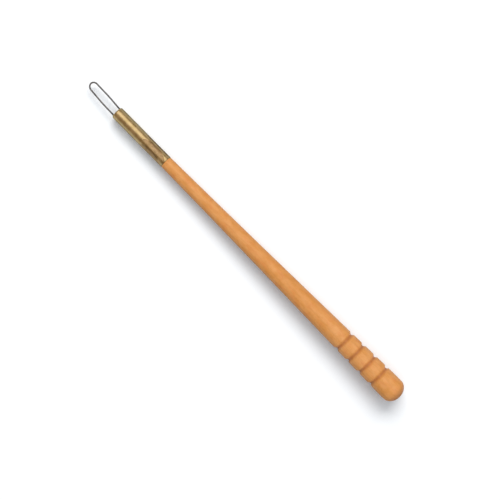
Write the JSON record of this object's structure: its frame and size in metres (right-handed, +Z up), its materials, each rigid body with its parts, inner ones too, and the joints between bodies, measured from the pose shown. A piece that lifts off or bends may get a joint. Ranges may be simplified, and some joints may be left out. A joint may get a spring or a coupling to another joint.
{
  "type": "pottery trimming tool",
  "caption": "Hand tool for trimming clay: a narrow steel wire loop crimped into a brass ferrule on a tapered turned wooden handle with grip grooves and a domed butt.",
  "frame": {"origin": "middle of the tool's footprint, on the surface that it lies on", "axes": "+X towards the cutting loop along the tool's length, +Z up from the surface, the loop lies flat in the plane of the tool's axis and Y"},
  "size_m": [0.1828, 0.0104, 0.0105],
  "materials": {
    "handle_wood": "satin",
    "ferrule_brass": "satin",
    "loop_steel": "satin"
  },
  "bodies": {
    "root": {"handle": "handle_wood", "ferrule": "ferrule_brass", "wire_loop": "loop_steel"}
  },
  "joints": []
}
